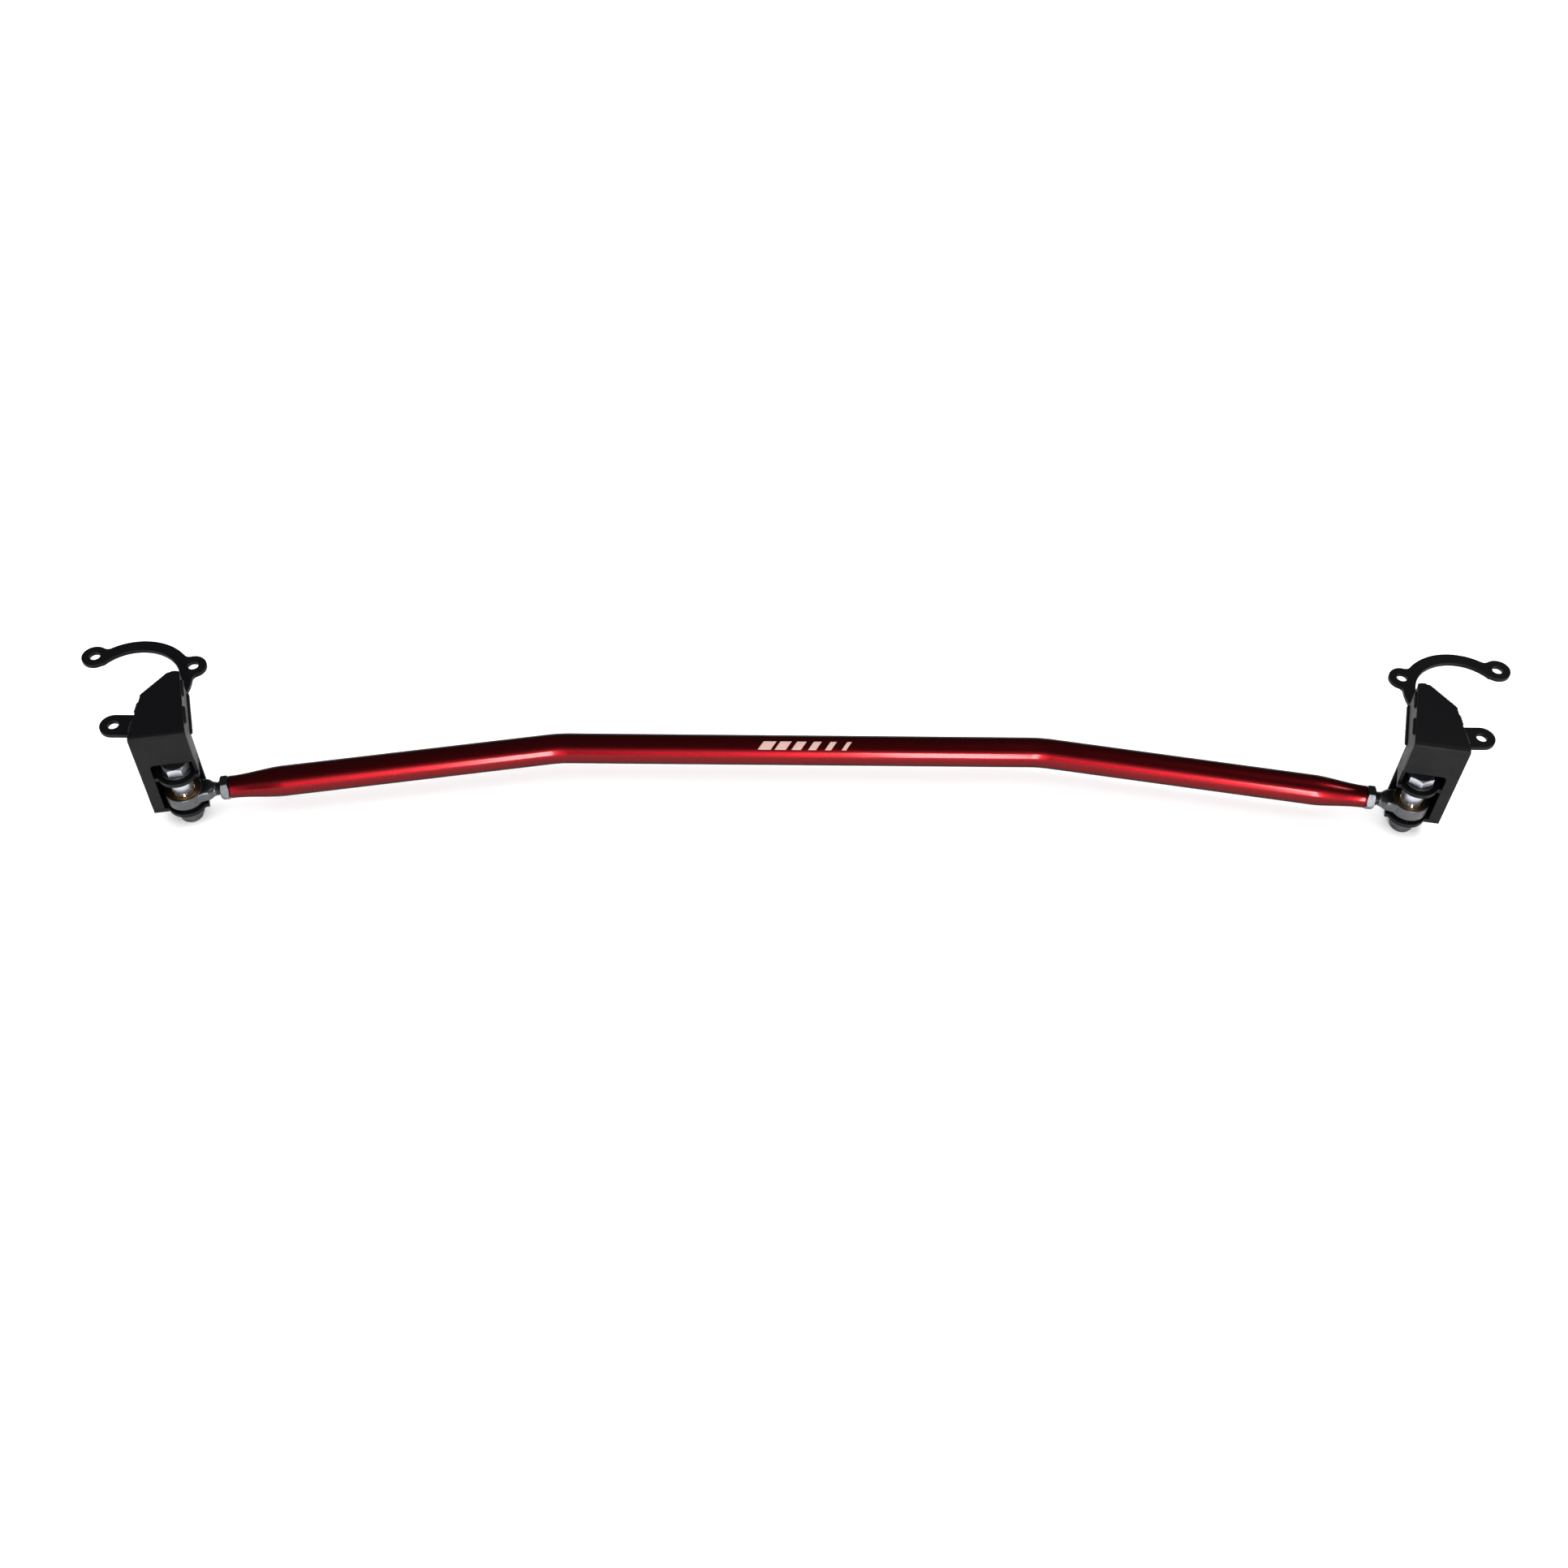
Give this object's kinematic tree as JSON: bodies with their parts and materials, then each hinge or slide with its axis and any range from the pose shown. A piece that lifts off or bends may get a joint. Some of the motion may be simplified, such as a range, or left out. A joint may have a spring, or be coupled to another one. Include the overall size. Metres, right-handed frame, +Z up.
{
  "type": "strut tower brace",
  "caption": "Adjustable front strut-tower brace: bent round tube with swaged ends, rod ends and folded steel brackets that sit on the strut towers' studs.",
  "frame": {"origin": "under the middle of the bounding box, at the height of the pivot bolts' lower ends", "axes": "+X along the bar towards the right tower, +Y to the rear of the car, +Z up along the tower studs"},
  "size_m": [1.1998, 0.139, 0.1065],
  "materials": {
    "tube_red": "translucent candy red over bright metal, gloss",
    "bracket_black": "satin black powder coat",
    "zinc_hardware": "bright zinc plate",
    "zinc_rod_end": "zinc plate over a forging",
    "chromed_ball": "hard chrome, polished",
    "bronze_liner": "bronze, turned",
    "nylon": "natural nylon"
  },
  "bodies": {
    "bar": {"bar_tube": "tube_red", "left_rod_end_body": "zinc_rod_end", "left_rod_end_race": "bronze_liner", "left_jam_nut": "zinc_hardware", "right_rod_end_body": "zinc_rod_end", "right_rod_end_race": "bronze_liner", "right_jam_nut": "zinc_hardware"},
    "left_ball": {"left_rod_end_ball": "chromed_ball"},
    "left_bracket": {"left_ear_plate": "bracket_black", "left_box_shell": "bracket_black", "left_outboard_side_plate": "bracket_black", "left_inboard_side_plate": "bracket_black", "left_rear_gusset": "bracket_black", "left_leg_back_plate": "bracket_black", "left_upper_lug": "bracket_black", "left_lower_lug": "bracket_black", "left_pivot_bolt": "zinc_hardware", "left_washers": "zinc_hardware", "left_upper_spacer": "zinc_hardware", "left_lower_spacer": "zinc_hardware", "left_lock_nut": "zinc_hardware", "left_nylon_ring": "nylon"},
    "right_ball": {"right_rod_end_ball": "chromed_ball"},
    "right_bracket": {"right_ear_plate": "bracket_black", "right_box_shell": "bracket_black", "right_outboard_side_plate": "bracket_black", "right_inboard_side_plate": "bracket_black", "right_rear_gusset": "bracket_black", "right_leg_back_plate": "bracket_black", "right_upper_lug": "bracket_black", "right_lower_lug": "bracket_black", "right_pivot_bolt": "zinc_hardware", "right_washers": "zinc_hardware", "right_upper_spacer": "zinc_hardware", "right_lower_spacer": "zinc_hardware", "right_lock_nut": "zinc_hardware", "right_nylon_ring": "nylon"}
  },
  "joints": [
    {"name": "left_tilt", "type": "hinge", "parent": "bar", "child": "left_ball", "pos_m": [-0.504, -0.0535, 0.0295], "axis": [1, 0, 0], "range_deg": [-13, 13]},
    {"name": "left_swivel", "type": "hinge", "parent": "left_ball", "child": "left_bracket", "pos_m": [-0.504, -0.0535, 0.0295], "axis": [0, 0, 1], "range_deg": [-22, 120]},
    {"name": "right_tilt", "type": "hinge", "parent": "bar", "child": "right_ball", "pos_m": [0.504, -0.0535, 0.0295], "axis": [1, 0, 0], "range_deg": [-13, 13]},
    {"name": "right_swivel", "type": "hinge", "parent": "right_ball", "child": "right_bracket", "pos_m": [0.504, -0.0535, 0.0295], "axis": [0, 0, 1], "range_deg": [-120, 22]}
  ]
}
